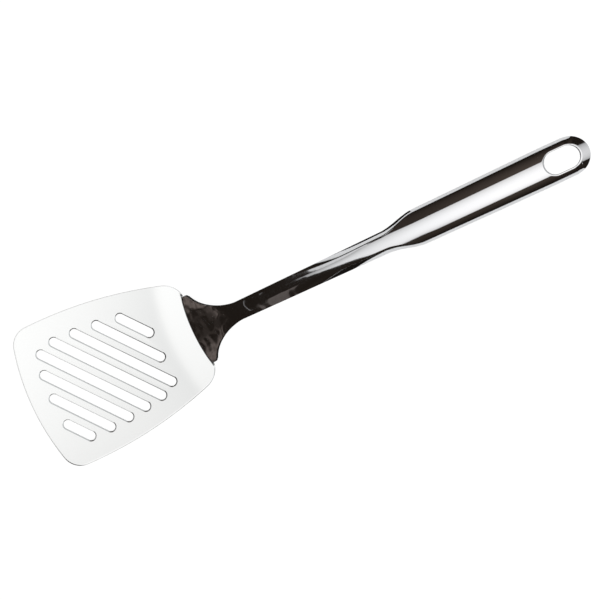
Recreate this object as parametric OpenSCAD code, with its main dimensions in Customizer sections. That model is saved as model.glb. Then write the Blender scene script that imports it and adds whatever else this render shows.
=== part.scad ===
/* [Blade] */
// Length of the flat blade, from its front edge to the line where it turns up
blade_length = 102.2; // [85:0.2:120]
// Width of the blade at its widest point
blade_width = 87.5; // [76:0.5:100]
// Thickness of the blade's sheet
blade_t = 1.5; // [1:0.1:2.2]
// Distance of the widest point behind the front edge
widest_at = 22; // [18:1:30]
// Radius of the bowed front edge
front_bow_r = 144; // [110:1:300]
// Radius of the two front corners
front_corner_r = 11.5; // [8:0.5:15]
// Radius of the long convex sides
side_r = 248; // [220:1:400]
// Radius of the two rear corners
rear_corner_r = 13; // [8:0.5:14]
// How far the rear corners reach behind the middle of the bend line
rear_reach = 4.2; // [2:0.1:5]

/* [Turned-up heel] */
// Angle at which the heel of the blade and the foot of the handle rise
foot_angle = 40; // [30:1:48]
// Inside radius of the bend
bend_r = 2.5; // [2:0.1:4]
// Radius of the bowed bend line, seen from above
bend_bow_r = 108; // [106:1:200]
// Length of the blade's tongue under the foot, along the slope
tongue_length = 15; // [12:0.5:17]
// How far the tongue stays inside the foot's edge
tongue_inset = 1.2; // [0.8:0.1:2]

/* [Slots] */
// Number of slots
slot_count = 8; // [4:1:9]
// Width of a slot
slot_width = 5.3; // [4:0.1:6]
// Distance between the middle lines of two slots
slot_pitch = 9.78; // [8:0.02:11]
// Angle between the slots and the length of the blade
slot_angle = 51.2; // [40:0.2:60]
// Distance of the slots' end centres from the blade's sides, level with the front edge
side_margin_front = 14.7; // [12:0.1:19]
// Distance of the slots' end centres from the blade's sides, level with the bend line
side_margin_rear = 13.5; // [10:0.1:17]
// Distance of the slots' end centres from the front edge
front_margin = 13.4; // [10:0.1:18]
// Distance of the slots' end centres from the bend line
rear_margin = 22.7; // [18:0.1:30]
// Rounding of the slot field at its front corners
field_corner_r = 12; // [8:0.5:16]
// Middle of the slot field, behind the front edge
field_centre = 44; // [40:0.5:48]
// How far the slots' ends are shifted to one side
field_shift = 0.5; // [0:0.1:1]

/* [Handle] */
// Thickness of the handle's sheet
handle_t = 2; // [1.5:0.1:2.4]
// Length of the handle, along its curved top line
handle_length = 258.2; // [230:0.2:290]
// Length of the straight stretch that lies on the blade's tongue
lap_length = 18; // [17:0.5:22]
// Length over which the foot's steep rise eases into the neck
ease_length = 26; // [20:1:34]
// Slope of the neck behind the foot
neck_angle = 19; // [14:0.5:24]
// Slope at the end of the grip, because the handle arches over
tip_angle = 6; // [2:0.5:10]
// How much steeper the rounded tip drops than the grip's end
tip_drop = 12; // [0:1:18]
// Least gap between the foot and the tongue
lap_gap = 0.05; // [0.03:0.01:0.2]

/* [Handle widths] */
// Width of the foot at its two corners
foot_width = 42.4; // [37:0.2:46]
// Radius of the foot's front corners
foot_corner_r = 10; // [8:0.5:16]
// How far the foot's front corners reach inwards from its edge
foot_corner_span = 5.6; // [4:0.2:7]
// Radius of the small nose at which each corner turns into the flare
foot_nose_r = 1.5; // [1:0.1:2.2]
// Distance along the handle at which the foot's flare ends
flare_end = 35; // [30:1:42]
// Shape of the flare: a higher power is a more trumpet-like curve
flare_power = 2.4; // [1.6:0.1:2.8]
// Width of the neck behind the flare
neck_width_low = 10.7; // [9:0.1:12]
// Width of the neck in front of the shoulder
neck_width_high = 13; // [11:0.1:14]
// Distance along the handle at which the shoulder begins
shoulder_start = 130.5; // [120:0.5:136]
// Length of the shoulder between the neck and the grip
shoulder_length = 23; // [16:1:28]
// Width of the grip behind the shoulder
grip_width_front = 21.2; // [18:0.1:23]
// Width of the grip at its widest point
grip_width_max = 22.8; // [20:0.1:24]
// Distance of the grip's widest point before the tip
widest_before_tip = 28; // [24:1:36]
// Width of the grip where the round tip begins
grip_width_tip = 22.6; // [19:0.1:24]

/* [Channel section] */
// Radius of the rounded top across the grip
crown_r = 14; // [13:0.5:24]
// Radius of the rounded top across the neck
neck_crown_r = 10.5; // [9:0.5:16]
// Slope of the turned-down side walls
wall_angle = 76; // [64:1:84]
// Outer radius between the top and a side wall
wall_bend_r = 2.6; // [2.5:0.1:3.4]
// Height of a side wall along its slope, at the grip
grip_wall = 4; // [2.5:0.1:6]
// Height of a side wall along its slope, at the neck
neck_wall = 3.4; // [2:0.1:4]
// Height of the plain edge where there is no side wall
plain_edge = 0.6; // [0.4:0.1:1]
// Distance along the handle at which the side walls begin
wall_start = 62; // [45:1:68]
// Length over which the side walls grow to their height
wall_growth = 62; // [30:1:66]

/* [Hanging hole] */
// Length of the hanging hole
hole_length = 21; // [16:0.2:23]
// Width of the hanging hole
hole_width = 12.8; // [10:0.2:13]
// Steel left between the hole and the tip
hole_to_tip = 6; // [4.5:0.1:8]

/* [Spot welds] */
// Number of spot welds
weld_count = 4; // [2:1:4]
// Diameter of a weld nugget
weld_d = 3.6; // [3:0.1:4]
// Distance between two spot welds
weld_pitch = 9.2; // [7:0.1:9.6]
// Distance of the spot welds behind the foot's front edge, along the slope
weld_setback = 4.8; // [4:0.1:7]
// Depth that a nugget reaches into each sheet
weld_depth = 0.8; // [0.5:0.1:0.9]

/* [Hidden] */
$fn = 96;

// Numbers of facets round the long curves
side_steps = 24;
corner_steps = 12;
tongue_steps = 10;
bend_steps = 8;
crown_steps = 5;
wall_bend_steps = 3;
tip_steps = 14;
// Spacing of the handle's cross sections where it changes fast and where it is even
fine_step = 2;
coarse_step = 5.5;
// Halvings that find where a slot's middle line leaves the slot field
search_steps = 14;
// Straight stretch of the slope between the bend and the foot's front edge
lap_start = 0.2;
// How far cutting shapes reach past the sheet
cut = 1;
// Half of the turn that the blade's profile makes about its axis
blade_spread = 24;
// Part of the wall's slope that even a plain edge has, so that no two points coincide
least_share = 0.02;
// Turn from the tip's crease over which the side walls fade out
tip_fade = 35;
// Short step that gives the way the foot's two edges run at their corner
corner_nudge = 0.1;

front_x = -field_centre;
bend_x = front_x + blade_length;
rear_x = bend_x + rear_reach;
bend_axis_x = bend_x + bend_bow_r;

function smooth(u) = let (v = min(1, max(0, u))) v * v * (3 - 2 * v);
function mix(a, b, u) = a + (b - a) * u;
function polar(r, a) = r * [cos(a), sin(a)];
function arc(c, r, a0, a1, n) = [for (i = [0 : n]) c + polar(r, mix(a0, a1, i / n))];
function unit(v) = v / norm(v);
function heading(from, to) = atan2(to[1] - from[1], to[0] - from[0]);
function flip(points) = [for (i = [len(points) - 1 : -1 : 0]) [points[i][0], -points[i][1]]];

// Centre of a circle that touches two others from the inside, on their left as seen from a to b
function inner_touch(a, ra, b, rb) =
    let (d = norm(b - a), along = (d * d + ra * ra - rb * rb) / (2 * d),
         off = sqrt(ra * ra - along * along), u = (b - a) / d)
    a + along * u + off * [-u[1], u[0]];

// Points of the tongue's upper face and of the foot's, at a distance s up the slope
function seat_at(s) = [bend_x + bend_r * sin(foot_angle), blade_t + bend_r * (1 - cos(foot_angle))]
    + polar(lap_start + s, foot_angle);
function foot_at(s) = seat_at(s) + polar(handle_t + lap_gap, foot_angle + 90);

// Front edge of the foot, set back along the slope: bowed like the bend, with rounded corners
foot_bow_r = bend_axis_x - seat_at(0)[0];
function front_edge(y) = let (in = y - foot_width / 2 + foot_corner_span)
    (foot_bow_r - sqrt(foot_bow_r * foot_bow_r - y * y)) / cos(foot_angle)
        + (in > 0 ? foot_corner_r - sqrt(foot_corner_r * foot_corner_r - in * in) : 0);
foot_corner_s = front_edge(foot_width / 2);
function flare(s) = neck_width_low / 2 + (foot_width - neck_width_low) / 2
    * pow((flare_end - s) / (flare_end - foot_corner_s), flare_power);

// The front edge and the flare meet in a nose, a circle that touches both
foot_corner = [foot_corner_s, foot_width / 2];
front_way = unit(foot_corner - [front_edge(foot_width / 2 - corner_nudge), foot_width / 2 - corner_nudge]);
flare_way = unit([foot_corner_s + corner_nudge, flare(foot_corner_s + corner_nudge)] - foot_corner);
nose_half_angle = acos(-front_way * flare_way) / 2;
nose_c = foot_corner + foot_nose_r / sin(nose_half_angle) * unit(flare_way - front_way);
nose_reach = foot_nose_r / tan(nose_half_angle);
function nose_at(v) = sqrt(max(0, foot_nose_r * foot_nose_r - v * v));
function foot_setback(y) = y < foot_corner[1] - nose_reach * front_way[1] ? front_edge(y)
    : nose_c[0] - nose_at(y - nose_c[1]);

// Blade outline: a bowed front, convex sides and rounded corners, as arcs that run into each other
bow_c = [front_x + front_bow_r, 0];
side_c = [front_x + widest_at, blade_width / 2 - side_r];
front_corner_c = inner_touch(side_c, side_r - front_corner_r, bow_c, front_bow_r - front_corner_r);
rear_corner_x = rear_x - rear_corner_r;
rear_corner_c = [rear_corner_x, side_c[1]
    + sqrt(pow(side_r - rear_corner_r, 2) - pow(rear_corner_x - side_c[0], 2))];

// The tongue narrows like the foot that covers it
tongue_side = [for (i = [0 : tongue_steps])
    let (s = mix(foot_corner_s, tongue_length + 2 * cut, i / tongue_steps))
    [foot_at(s)[0], half_width(s) - tongue_inset]];

half_outline = concat(
    arc(bow_c, front_bow_r, 180, heading(bow_c, front_corner_c), corner_steps),
    arc(front_corner_c, front_corner_r, heading(bow_c, front_corner_c),
        heading(side_c, front_corner_c), corner_steps),
    arc(side_c, side_r, heading(side_c, front_corner_c), heading(side_c, rear_corner_c), side_steps),
    arc(rear_corner_c, rear_corner_r, heading(side_c, rear_corner_c), 0, corner_steps),
    tongue_side);

// Slots: parallel obrounds that run out to an even margin inside the blade's edge
function side_y(x) = side_c[1] + sqrt(side_r * side_r - pow(x - side_c[0], 2));
function bow_x(y) = bow_c[0] - sqrt(front_bow_r * front_bow_r - y * y);
field_corner = [front_x + front_margin + field_corner_r,
    blade_width / 2 - side_margin_front - field_corner_r];
function past_corner(x, y) = x < field_corner[0] && y > field_corner[1]
    && norm([x, y] - field_corner) > field_corner_r;
function side_margin(x) = mix(side_margin_front, side_margin_rear, (x - front_x) / blade_length);
function in_field(p) = let (x = p[0], y = abs(p[1] + field_shift))
    x > bow_x(y) + front_margin && x < bend_x - rear_margin
    && y < side_y(x) - side_margin(x) && !past_corner(x, y);
function reach(p, d, low, high, n) = n == 0 ? low
    : let (half = (low + high) / 2)
      in_field(p + half * d) ? reach(p, d, half, high, n - 1) : reach(p, d, low, half, n - 1);

module slot_outline(middle) {
    d = [cos(slot_angle), -sin(slot_angle)];
    front = reach(middle, -d, 0, blade_width, search_steps);
    rear = reach(middle, d, 0, blade_width, search_steps);
    translate(middle) rotate(-slot_angle) {
        translate([-front, -slot_width / 2]) square([front + rear, slot_width]);
        translate([-front, 0]) circle(d = slot_width);
        translate([rear, 0]) circle(d = slot_width);
    }
}

module slots() {
    for (i = [0 : slot_count - 1]) {
        middle = (i - (slot_count - 1) / 2) * slot_pitch * [sin(slot_angle), cos(slot_angle)];
        if (in_field(middle)) translate([0, 0, -cut]) linear_extrude(blade_t + 2 * cut)
            slot_outline(middle);
    }
}

// Side profile of the blade's sheet, with x counted back from the bend line: flat, bend and tongue
bend_c = [0, blade_t + bend_r];
bend_end = foot_angle - 90;
sheet_profile = concat(
    [[-blade_length - cut, blade_t], [-blade_length - cut, 0]],
    arc(bend_c, bend_r + blade_t, -90, bend_end, bend_steps),
    [for (r = [bend_r + blade_t, bend_r]) bend_c + polar(r, bend_end)
        + polar(tongue_length, foot_angle)],
    arc(bend_c, bend_r, bend_end, -90, bend_steps));

// The profile turns about an upright axis behind the blade, so the bend line is bowed
module turned_sheet() {
    translate([bend_axis_x, 0, 0]) rotate([0, 0, 180 - blade_spread])
        rotate_extrude(angle = 2 * blade_spread) translate([bend_bow_r, 0]) mirror([1, 0])
            polygon(sheet_profile);
}

module blade() {
    color([0.90, 0.90, 0.91]) difference() {
        intersection() {
            turned_sheet();
            translate([0, 0, -cut]) linear_extrude(tongue_length + 2 * cut)
                polygon(concat(half_outline, flip(half_outline)));
        }
        slots();
        spot_welds();
    }
}

// The handle's top line: straight on the tongue, easing into the neck, then one long arch
function slope(s) = s < lap_length ? foot_angle
    : s < lap_length + ease_length ? mix(foot_angle, neck_angle, (s - lap_length) / ease_length)
    : mix(neck_angle, tip_angle, (s - lap_length - ease_length) / arch_length);
function arc_step(a0, a1, s) = let (r = s / ((a1 - a0) * PI / 180))
    r * [sin(a1) - sin(a0), cos(a0) - cos(a1)];
function line_at(s) = s <= lap_length ? foot_at(s)
    : s <= lap_length + ease_length ? line_at(lap_length)
        + arc_step(foot_angle, slope(s), s - lap_length)
    : line_at(lap_length + ease_length)
        + arc_step(neck_angle, slope(s), s - lap_length - ease_length);

tip_r = grip_width_tip / 2;
tip_centre = handle_length - tip_r;
arch_length = tip_centre - lap_length - ease_length;
shoulder_end = shoulder_start + shoulder_length;
widest_s = handle_length - widest_before_tip;

// Half of the handle's width at a distance s along it
function half_width(s) =
    s < foot_corner_s + nose_reach * flare_way[0] ? nose_c[1] + nose_at(max(0, s - nose_c[0]))
    : s < flare_end ? flare(s)
    : s < shoulder_start
        ? mix(neck_width_low, neck_width_high, (s - flare_end) / (shoulder_start - flare_end)) / 2
    : s < shoulder_end
        ? mix(neck_width_high, grip_width_front, grip_share(s)) / 2
    : s < widest_s
        ? mix(grip_width_front, grip_width_max, (s - shoulder_end) / (widest_s - shoulder_end)) / 2
    : mix(grip_width_max, grip_width_tip, smooth((s - widest_s) / (tip_centre - widest_s))) / 2;

// How far the neck has become the grip at s, how far the side walls have grown, and their height
function grip_share(s) = smooth((s - shoulder_start) / shoulder_length);
function wall_share(s) = smooth((s - wall_start) / wall_growth);
function wall_height(s) = mix(plain_edge, mix(neck_wall, grip_wall, grip_share(s)), wall_share(s));

// Sine of the slope at the edge of the rounded top. The foot's underside lies on the tongue's cone
function foot_crown_r(s) = (bend_axis_x - seat_at(s)[0]) / sin(foot_angle) + lap_gap + handle_t;
function channel_crown(s) = (half_width(s) - wall_bend_r * sin(wall_angle)
    - wall_height(s) * cos(wall_angle)) / (mix(neck_crown_r, crown_r, grip_share(s)) - wall_bend_r);
function crown_sine(s) = mix((half_width(s) - plain_edge) / foot_crown_r(min(s, lap_length)),
    channel_crown(s), smooth((s - lap_length) / ease_length));

// One half of a cross section's outer face, as [out, down, slope] from the top line to the rim
function section_points(w, crown, wall, height) =
    let (bend_out = wall_bend_r * (sin(wall) - sin(crown)),
         top_r = (w - bend_out - height * cos(wall)) / sin(crown),
         edge = [top_r * sin(crown), top_r * (1 - cos(crown))],
         top = [for (i = [0 : crown_steps]) let (a = crown * i / crown_steps)
             [top_r * sin(a), top_r * (1 - cos(a)), a]],
         bend = [for (i = [1 : wall_bend_steps]) let (a = mix(crown, wall, i / wall_bend_steps))
             [edge[0] + wall_bend_r * (sin(a) - sin(crown)),
              edge[1] + wall_bend_r * (cos(crown) - cos(a)), a]],
         last = bend[wall_bend_steps - 1])
    concat(top, bend, [[last[0] + height * cos(wall), last[1] + height * sin(wall), wall]]);
function section_at(s, keep = 1) =
    let (crown = asin(crown_sine(s)), share = wall_share(s) * keep)
    section_points(half_width(s), crown, mix(crown, wall_angle, max(share, least_share)),
                   mix(plain_edge, wall_height(s), keep));
columns = crown_steps + wall_bend_steps + 1;

// Lean of a cross section: square to the top line, and easing to the round tip's near its end
function lean(s) = slope(s) - tip_drop * smooth((s - widest_s) / (tip_centre - widest_s));

// A point of the sheet: out from the top line at station s, at a depth below the outer face
function place(s, out, down) = let (p = line_at(s), a = lean(s))
    [p[0] + down * sin(a), out, p[1] - down * cos(a)];
function sheet_point(s, p, depth) = place(s, p[0] - depth * sin(p[2]), p[1] + depth * cos(p[2]));

// Stations along the handle, closer together in the flare and the shoulder
function spread(a, b, step) = let (n = ceil((b - a) / step)) [for (i = [0 : n - 1]) mix(a, b, i / n)];
stations = concat(spread(0, lap_length + ease_length, fine_step),
    spread(lap_length + ease_length, shoulder_start, coarse_step),
    spread(shoulder_start, shoulder_end, fine_step),
    spread(shoulder_end, widest_s, coarse_step), spread(widest_s, tip_centre, coarse_step),
    [tip_centre]);
last_station = len(stations) - 1;

// Each column of the foot's first stations is set back with the front edge, less and less
front_section = section_at(0);
function set_back(s, j) = s + foot_setback(front_section[j][0]) * max(0, 1 - s / lap_length);

// Half rows run from the foot along one side, round the tip and back along the other side
function side_row(s, side, depth) = [for (j = [0 : columns]) let (at = set_back(s, j),
    p = section_at(at)[j], q = sheet_point(at, p, depth)) [q[0], side * q[1], q[2]]];

// Round the tip the crown runs on straight and is cut round, and the side walls fade out. The
// depth is taken along the face's normal, which leans by the crown's bow and by the wall's own slope
function tip_row(turn, depth) =
    let (keep = 1 - smooth(min(turn, 180 - turn) / tip_fade), a = lean(tip_centre),
         c = line_at(tip_centre), section = section_at(tip_centre, keep),
         crown_edge = section[crown_steps], top_r = crown_edge[0] / sin(crown_edge[2]))
    [for (p = section) let (start = asin(p[0] / top_r), own = p[2] - start,
         y = p[0] * cos(turn), bow = asin(y / top_r),
         ahead = p[0] * sin(turn) - depth * sin(turn) * sin(own),
         side = y - depth * (sin(bow) * cos(own) + cos(turn) * cos(bow) * sin(own)),
         down = p[1] + top_r * (cos(start) - cos(bow))
             + depth * (cos(bow) * cos(own) - cos(turn) * sin(bow) * sin(own)))
        [c[0] + ahead * cos(a) + down * sin(a), side, c[1] + ahead * sin(a) - down * cos(a)]];
function rows(depth) = concat(
    [for (i = [0 : last_station]) side_row(stations[i], 1, depth)],
    [for (i = [1 : tip_steps - 1]) tip_row(180 * i / tip_steps, depth)],
    [for (i = [last_station : -1 : 0]) side_row(stations[i], -1, depth)]);

outer_rows = rows(0);
inner_rows = rows(handle_t);
row_count = len(outer_rows);

// The two halves share the points on the top line, and the rows round the tip share the last one
function on_line(k) = k <= last_station ? k : k >= row_count - 1 - last_station
    ? row_count - 1 - k : last_station;
layer_size = last_station + 1 + row_count * columns;
function index(layer, k, j) = layer * layer_size
    + (j == 0 ? on_line(k) : last_station + 1 + k * columns + j - 1);
function layer_points(r) = concat([for (k = [0 : last_station]) r[k][0]],
    [for (row = r) for (j = [1 : columns]) row[j]]);
function same_line(k) = on_line(k) == on_line(k + 1);

function face(a, b, c, d) = [[a, b, c], [a, c, d]];
handle_faces = concat(
    [for (k = [0 : row_count - 2]) for (j = [0 : columns - 1])
        for (f = j == 0 && same_line(k) ? [[index(0, k, 0), index(0, k + 1, 1), index(0, k, 1)]]
            : face(index(0, k, j), index(0, k + 1, j), index(0, k + 1, j + 1),
                   index(0, k, j + 1))) f],
    [for (k = [0 : row_count - 2]) for (j = [0 : columns - 1])
        for (f = j == 0 && same_line(k) ? [[index(1, k, 0), index(1, k, 1), index(1, k + 1, 1)]]
            : face(index(1, k, j), index(1, k, j + 1), index(1, k + 1, j + 1),
                   index(1, k + 1, j))) f],
    [for (k = [0 : row_count - 2]) for (f = face(index(0, k, columns), index(0, k + 1, columns),
        index(1, k + 1, columns), index(1, k, columns))) f],
    [for (j = [0 : columns - 1]) for (f = face(index(0, 0, j), index(0, 0, j + 1),
        index(1, 0, j + 1), index(1, 0, j))) f],
    [for (j = [0 : columns - 1]) for (f = face(index(0, row_count - 1, j + 1),
        index(0, row_count - 1, j), index(1, row_count - 1, j), index(1, row_count - 1, j + 1))) f]);

module pressed_handle() {
    polyhedron(points = concat(layer_points(outer_rows), layer_points(inner_rows)),
               faces = handle_faces);
}

// The hole is cut square to the grip's top line
module hanging_hole() {
    middle = handle_length - hole_to_tip - hole_length / 2;
    straight = hole_length - hole_width;
    depth = handle_t + grip_wall + hole_width / 2;
    translate([line_at(middle)[0], 0, line_at(middle)[1]]) rotate([0, -slope(middle), 0])
        translate([0, 0, -depth]) linear_extrude(2 * depth) {
            square([straight, hole_width], center = true);
            for (side = [-1, 1]) translate([side * straight / 2, 0]) circle(d = hole_width);
        }
}

module handle() {
    color([0.80, 0.80, 0.82]) difference() {
        pressed_handle();
        hanging_hole();
        spot_welds();
    }
}

// Each nugget grows out of both sheets, square to them, along a line bowed like the foot's edge
module spot_welds() {
    seat = seat_at(weld_setback);
    weld_r = bend_axis_x - seat[0];
    color([0.72, 0.72, 0.74]) for (i = [0 : weld_count - 1]) {
        turn = (i - (weld_count - 1) / 2) * weld_pitch / weld_r * 180 / PI;
        translate([bend_axis_x, 0, seat[1]]) rotate([0, 0, turn]) translate([-weld_r, 0, 0])
            rotate([0, -foot_angle, 0]) translate([0, 0, -weld_depth])
                cylinder(d = weld_d, h = 2 * weld_depth + lap_gap);
    }
}

blade();
handle();
spot_welds();
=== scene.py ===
"""A fish spatula of polished stainless steel: a slotted blade on a pressed channel handle."""

from math import acos, asin, atan2, ceil, cos, pi, radians, sin, sqrt, tan

import bpy
from bpy.props import FloatProperty, FloatVectorProperty, PointerProperty, StringProperty
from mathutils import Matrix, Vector


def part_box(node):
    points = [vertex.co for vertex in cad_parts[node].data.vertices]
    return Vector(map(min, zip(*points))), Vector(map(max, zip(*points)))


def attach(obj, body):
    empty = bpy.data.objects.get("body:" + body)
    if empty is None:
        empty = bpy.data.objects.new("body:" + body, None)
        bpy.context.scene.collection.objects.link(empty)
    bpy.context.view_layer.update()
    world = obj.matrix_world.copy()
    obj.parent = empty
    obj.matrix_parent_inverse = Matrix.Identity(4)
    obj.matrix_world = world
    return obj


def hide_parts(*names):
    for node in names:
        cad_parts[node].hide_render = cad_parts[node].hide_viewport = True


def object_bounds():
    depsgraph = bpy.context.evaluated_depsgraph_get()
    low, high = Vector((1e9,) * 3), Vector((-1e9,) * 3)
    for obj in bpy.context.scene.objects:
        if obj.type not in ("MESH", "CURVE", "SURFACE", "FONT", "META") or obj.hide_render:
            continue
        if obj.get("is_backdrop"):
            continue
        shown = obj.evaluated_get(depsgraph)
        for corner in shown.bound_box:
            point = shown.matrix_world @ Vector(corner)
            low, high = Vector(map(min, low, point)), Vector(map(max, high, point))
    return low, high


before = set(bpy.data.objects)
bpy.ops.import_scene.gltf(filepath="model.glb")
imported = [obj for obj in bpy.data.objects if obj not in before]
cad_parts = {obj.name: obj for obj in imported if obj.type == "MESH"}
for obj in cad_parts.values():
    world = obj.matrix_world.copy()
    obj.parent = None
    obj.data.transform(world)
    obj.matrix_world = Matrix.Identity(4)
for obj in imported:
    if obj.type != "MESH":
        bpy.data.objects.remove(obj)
CAD_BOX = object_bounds()
HANDLE_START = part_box("handle")[0]

bl_info = {
    "name": "Fish spatula",
    "version": (1, 0, 0),
    "blender": (4, 5, 0),
    "location": "3D View > Sidebar > Spatula",
    "description": "Models a slotted steel fish spatula and the studio it is shown in",
    "category": "Mesh",
}

MM = 0.001
IMAGE_SIZE = 600

# Columns of the handle's grid: across the rounded top, round the bend and down the side wall
CROWN_COLUMNS = 14
BEND_COLUMNS = 8
WALL_COLUMNS = 6
COLUMNS = CROWN_COLUMNS + BEND_COLUMNS + WALL_COLUMNS
# How its columns crowd towards a rim without a wall
CROWDING = 1.25
# Spacing of its rows, the stretch with the finest, and the rows in a quarter turn round the tip
NOSE_STRETCH = 3 * MM
NOSE_STEP = 0.4 * MM
FINE_STEP = 1.0 * MM
COARSE_STEP = 2.0 * MM
TIP_STEPS = 20
# Turns from which an edge counts as sharp, is shaded sharp, and counts as an edge at all
SHARP = radians(50)
SHADED_SHARP = radians(38)
FLAT = radians(0.3)
# The least upward part of an upper face's normal
UPWARD = 0.7
# Distances below which points are merged: on the handle's middle line, and elsewhere
MIDDLE_MERGE = 0.01 * MM
MERGE = 0.001 * MM
# Decimals of a metre by which a vertex is found again
DECIMALS = 6
# Part of the wall's slope that even a plain edge has, and the least turn of a wall or an arc
LEAST_SHARE = 0.02
LEAST_WALL_TURN = 0.002
LEAST_TURN = 1e-9
# The hole's rounding on its underside, as a share of the upper one
UNDERSIDE = 0.4
# The collar round the hole: its reach, its rings, and the facets round it and over its rim
COLLAR_MARGIN = 2.0 * MM
COLLAR_RINGS = (1.7 * MM, 1.4 * MM)
HOLE_SIDES = 112
ROUND_STEPS = 5

# The roll-over's depth at right angles to its deep side, and its rise towards it. That of the
# blade's outline deepens towards -Y
DEEP_MIDDLE, DEEP_RISE = 0.55, 0.9
OUTLINE_RISE = 1.4
# Where the blade's dish is flat again in front of the heel, and the softness of that change
LEDGE = 13 * MM
LEDGE_EASE = 0.0006
# Sizes of the smudges on both sheets, along X, Y and Z, and how much rougher they are
HANDLE_SMUDGES, HANDLE_HAZE = (18.18 * MM, 7.69 * MM, 9.09 * MM), 0.03
BLADE_SMUDGES, BLADE_HAZE = [11.11 * MM] * 3, 0.05
# Brightness of the softbox's edges to that of its hot spot
SOFTBOX_LEAST = 0.3


# Sizes and colours


def in_mm(name, description, default, **limits):
    """A length whose default is given in millimetres"""
    return FloatProperty(name=name, description=description, default=default * MM, unit="LENGTH",
                         precision=5, **limits)


def in_degrees(name, description, default):
    """An angle whose default is given in degrees"""
    return FloatProperty(name=name, description=description, default=radians(default),
                         subtype="ANGLE")


def as_share(name, description, default):
    """A value from 0 to 1"""
    return FloatProperty(name=name, description=description, default=default, min=0.0, max=1.0,
                         subtype="FACTOR")


def as_number(name, description, default, least=0.0):
    """A value without a unit"""
    return FloatProperty(name=name, description=description, default=default, min=least)


def as_pair(name, description, default):
    """Two values without a unit"""
    return FloatVectorProperty(name=name, description=description, default=default, size=2,
                               precision=4)


def in_metres(name, description, default, **kind):
    """Some lengths in metres"""
    return FloatVectorProperty(name=name, description=description, default=default,
                               size=len(default), unit="LENGTH", precision=4, **kind)


def as_place(name, description, default):
    """A place in metres"""
    return in_metres(name, description, default, subtype="XYZ")


def as_colour(name, description, default):
    """A colour as an sRGB hex value"""
    return StringProperty(name=name, description=description, default=default)


class SPATULA_PG_handle(bpy.types.PropertyGroup):
    """Sizes of the pressed handle"""

    sheet: in_mm("Sheet", "Thickness of the handle's steel", 2.0, min=1.0 * MM)
    length: in_mm("Length", "Length along the curved top line", 258.2)
    lap_length: in_mm("Lap", "Straight stretch that lies on the blade's tongue", 18)
    ease_length: in_mm("Ease", "Stretch over which the foot's rise eases", 26)
    foot_angle: in_degrees("Foot angle", "Slope of the foot", 40)
    neck_angle: in_degrees("Neck angle", "Slope of the neck behind the foot", 19)
    tip_angle: in_degrees("Tip angle", "Slope at the end of the grip", 6)
    tip_drop: in_degrees("Tip drop", "How much steeper the round tip drops", 12)
    foot_width: in_mm("Foot width", "Width of the foot at its corners", 45.6)
    foot_bow: in_mm("Foot bow", "Radius of the foot's bowed front edge", 106.24)
    foot_corner: in_mm("Foot corner", "Radius of the foot's front corners", 10)
    foot_corner_span: in_mm("Corner span", "Reach of the foot's corners", 5.6)
    foot_nose: in_mm("Foot nose", "Radius of the nose at each corner", 2.6)
    flare_end: in_mm("Flare end", "Where the foot's flare ends", 37)
    flare_power: as_number("Flare power", "How trumpet-like the flare is", 1.8, 1.0)
    flare_growth: as_number("Flare growth", "How much more so at the corners", 1.45)
    neck_low: in_mm("Low neck", "Width of the neck behind the flare", 11.0)
    neck_high: in_mm("High neck", "Width of the neck at the shoulder", 13)
    shoulder_start: in_mm("Shoulder", "Where the shoulder begins", 130.5)
    shoulder_length: in_mm("Shoulder length", "Length of the shoulder", 23)
    grip_front: in_mm("Grip front", "Width of the grip behind the shoulder", 21.2)
    grip_max: in_mm("Grip width", "Width of the grip at its widest", 22.8)
    widest_before_tip: in_mm("Widest point", "Its distance before the tip", 28)
    grip_tip: in_mm("Tip width", "Width where the round tip begins", 22.6)
    low_crown: in_mm("Low neck crown", "Radius across the low neck's top", 13.5)
    neck_crown: in_mm("Neck crown", "Radius where the walls grow", 10.5)
    high_crown: in_mm("High neck crown", "Radius across the high neck's top", 16)
    grip_crown: in_mm("Grip crown", "Radius across the top of the grip", 14)
    widening: in_mm("Crown change", "Where the neck's top becomes flatter", 104)
    widening_length: in_mm("Change length", "Length of that change", 18)
    neck_bend: in_mm("Neck bend", "Outer radius of the neck's upper edge", 2.05)
    grip_bend: in_mm("Grip bend", "Outer radius of the grip's upper edge", 2.6)
    neck_wall: in_mm("Neck wall", "Height of the neck's bowed side walls", 5.4)
    neck_wall_top: in_degrees("Neck wall top", "Slope of these walls at the top", 52)
    neck_wall_rim: in_degrees("Neck wall rim", "Slope of these walls at the rim", 80)
    grip_wall: in_mm("Grip wall", "Height of the grip's side walls", 4)
    grip_wall_top: in_degrees("Grip wall top", "Slope of these walls at the top", 75.5)
    grip_wall_rim: in_degrees("Grip wall rim", "Slope of these walls at the rim", 76.5)
    plain_edge: in_mm("Plain edge", "Height of the edge without a wall", 0.6)
    wall_start: in_mm("Wall start", "Where the side walls begin", 62)
    wall_growth: in_mm("Wall growth", "Length over which the walls grow", 62)
    tip_fade: in_degrees("Tip fade", "Turn round the tip that ends the walls", 35)
    hole_length: in_mm("Hole length", "Length of the hanging hole", 21)
    hole_width: in_mm("Hole width", "Width of the hanging hole", 12.8)
    hole_to_tip: in_mm("Hole to tip", "Steel between the hole and the tip", 6)
    edge_round: in_mm("Edge rounding", "Rounding of the foot's front edge", 0.45)
    rim_share: as_share("Rim share", "Share of it that the other edges have", 0.33)
    hole_round: in_mm("Hole rounding", "Width of the hole's upper rounding", 1.15)
    hole_flatness: as_number("Flatness", "Width of that rounding to its depth", 1.6, 1.0)


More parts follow.
